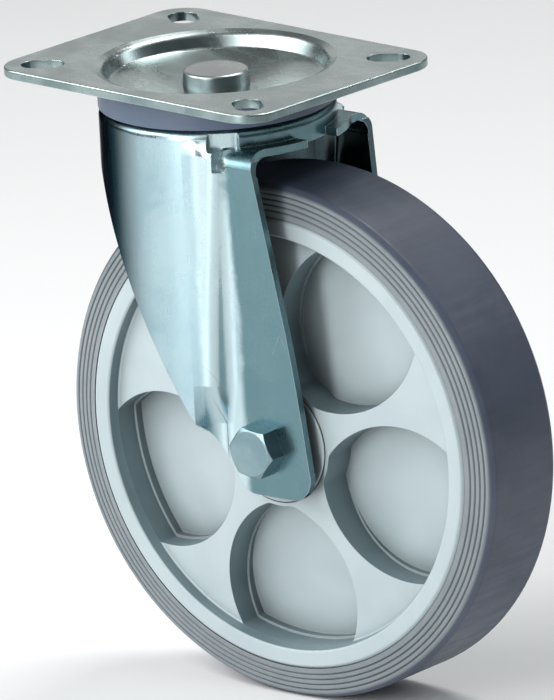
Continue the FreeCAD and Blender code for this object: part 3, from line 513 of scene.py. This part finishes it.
def petal(inset):
    """A pocket's outline: hub arc, two bowed sides and the rim arc, corners rounded."""
    hub, rim, bow = HUB + inset, RIM - inset, 37.4 * MM - inset
    hub_round, rim_round = 5 * MM, 1.6 * MM
    zero = Vector((0, 0))
    turn = Matrix.Rotation(PETAL_TURN, 2)
    sides = {}
    for sign in (-1, 1):
        centre = turn @ Vector((59.2 * MM, -7.2 * MM * sign))
        low = circle_meet(hub + hub_round, centre, bow - hub_round, sign)
        high = circle_meet(rim - rim_round, centre, bow - rim_round, sign)
        on_low = centre + (low - centre).normalized() * bow
        on_high = centre + (high - centre).normalized() * bow
        on_hub, on_rim = low.normalized() * hub, high.normalized() * rim
        sides[sign] = (centre, low, high, on_hub, on_low, on_high, on_rim)
    centre, low, high, on_hub, on_low, on_high, on_rim = sides[1]
    points = arc(low, on_hub, on_low, 8) + arc(centre, on_low, on_high, 48) + arc(high, on_high, on_rim, 5)
    centre, low, high, other_hub, on_low, on_high, other_rim = sides[-1]
    points += arc(zero, on_rim, other_rim, 40)
    points += arc(high, other_rim, on_high, 5) + arc(centre, on_high, on_low, 48)
    points += arc(low, on_low, other_hub, 8) + arc(zero, other_hub, on_hub, 12)
    return points


def rounded_turn(before, corner, after, radius, steps=4):
    """The points of a rounded corner of an outline."""
    into, out = (corner - before).normalized(), (after - corner).normalized()
    half = into.angle(out) / 2
    back = radius * math.tan(half)
    start, end = corner - into * back, corner + out * back
    centre = corner + (out - into).normalized() * (radius / math.cos(half))
    return arc(centre, start, end, steps) + [end]


def ring_outline(half):
    """A symmetric ring's section from its +Y half, given as (radius, across, rounding) in mm."""
    corners = [(x * MM, y * MM, r * MM) for x, y, r in half]
    corners += [(x, -y, r) for x, y, r in reversed(corners)]
    points = []
    for number, (x, y, rounding) in enumerate(corners):
        corner = Vector((x, y))
        if rounding == 0:
            points.append(corner)
            continue
        before = Vector(corners[number - 1][:2])
        after = Vector(corners[(number + 1) % len(corners)][:2])
        points += rounded_turn(before, corner, after, rounding)
    return points


def wheel_centre():
    """Rim, hub, web and spokes as the single moulding that they are, with softened edges."""
    made = revolve("wheel_centre", ring_outline([
        (15.0, 19.5, 0), (23.25, 19.5, 0), (23.25, 22.4, 0), (24.6, 22.4, 0), (80.0, 17.0, 0.8),
        (80.8, 22.2, 1.2), (86.8, 22.2, 1.2), (88.0, 20.8, 0.8),
    ]), 240)
    far = 40 * MM
    for inset, low, high in ((LEDGE, -far, far), (0, LEDGE_HALF, far), (0, -far, -LEDGE_HALF)):
        combine(made, prisms("pockets", petal(inset), low, high, SPOKES), "DIFFERENCE")
    slope = (WEB_AT_HUB - WEB_AT_RIM) / (RIM - HUB)
    inside, outside = HUB - 3 * MM, RIM + 2 * MM
    thick, thin = WEB_AT_HUB + slope * 3 * MM, WEB_AT_RIM - slope * 2 * MM
    web = [Vector(p) for p in ((inside, -thick), (outside, -thin), (outside, thin), (inside, thick))]
    combine(made, revolve("web", web, 240), "UNION")
    to_wheel(made)
    soften(made, 0.45 * MM)
    made.data.materials.clear()
    made.data.materials.append(hub_grey)
    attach(made, "wheel")
    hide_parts("wheel_rim", "wheel_hub", "wheel_web", "spokes_near", "spokes_far")


wheel_centre()


# ---------------------------------------------------------------- floor, light and camera
def floor():
    size = 6.0
    mesh = bpy.data.meshes.new("floor")
    z = CAD_BOX[0].z
    mesh.from_pydata(
        [(-size, -size, z), (size, -size, z), (size, size, z), (-size, size, z)], [], [(0, 1, 2, 3)]
    )
    made = bpy.data.objects.new("floor", mesh)
    bpy.context.scene.collection.objects.link(made)
    p = Paint("floor_paint")
    p.set("Base Color", p.mix(p.noise(3, 2), (0.90, 0.90, 0.90), (0.92, 0.92, 0.92)))
    p.shader.inputs["Roughness"].default_value = 0.9
    p.shader.inputs["Specular IOR Level"].default_value = 0.1
    mesh.materials.append(p.material)


def softbox(name, place, size, power, colour=(1, 1, 1), target=Vector((0.03, 0, -0.11))):
    light = bpy.data.lights.new(name, "AREA")
    light.shape = "RECTANGLE"
    light.size, light.size_y = size
    light.energy = power
    light.color = colour
    made = bpy.data.objects.new(name, light)
    bpy.context.scene.collection.objects.link(made)
    made.location = place
    made.rotation_mode = "QUATERNION"
    made.rotation_quaternion = (target - Vector(place)).to_track_quat("-Z", "Y")


def around(azimuth, elevation, distance):
    """A place seen from the object at an azimuth, counted as the camera's is."""
    a, e = math.radians(azimuth), math.radians(elevation)
    return Vector((math.sin(a) * math.cos(e), -math.cos(a) * math.cos(e), math.sin(e))) * distance


def studio():
    softbox("key", around(-50, 32, 1.5), (1.0, 1.0), 14)
    softbox("front", around(-8, 42, 1.5), (1.3, 0.9), 12)
    softbox("strip", around(6, 9, 1.7), (0.34, 1.0), 14)
    softbox("back", around(176, 60, 1.5), (0.9, 0.6), 12)
    softbox("rear", around(-136, 17, 2.0), (1.8, 0.6), 1.8)
    softbox("right", around(150, 28, 1.8), (0.45, 1.0), 4.0, (0.93, 0.96, 1.0))
    world = bpy.data.worlds.new("studio")
    bpy.context.scene.world = world
    world.use_nodes = True
    back = world.node_tree.nodes["Background"]
    back.inputs["Color"].default_value = (0.90, 0.97, 1.0, 1)
    back.inputs["Strength"].default_value = 0.10


AZIMUTH, ELEVATION, ROLL = 43.6, 16.2, 3.0
DISTANCE = 7.0
PIXELS_HIGH, PIXELS_PER_METRE = 700, 2670


def camera():
    data = bpy.data.cameras.new("camera")
    data.sensor_width = 36
    data.lens = DISTANCE * PIXELS_PER_METRE / PIXELS_HIGH * data.sensor_width
    data.clip_end = 50
    made = bpy.data.objects.new("camera", data)
    bpy.context.scene.collection.objects.link(made)
    back = around(AZIMUTH, ELEVATION, 1)
    turn = (-back).to_track_quat("-Z", "Y").to_matrix() @ Matrix.Rotation(math.radians(-ROLL), 3, "Z")
    aim = turn @ Vector((0.0231, -0.1083, 0))
    made.rotation_mode = "QUATERNION"
    made.rotation_quaternion = turn.to_quaternion()
    made.location = aim + back * DISTANCE
    bpy.context.scene.camera = made


floor()
studio()
camera()
bpy.context.scene.view_settings.view_transform = "Standard"
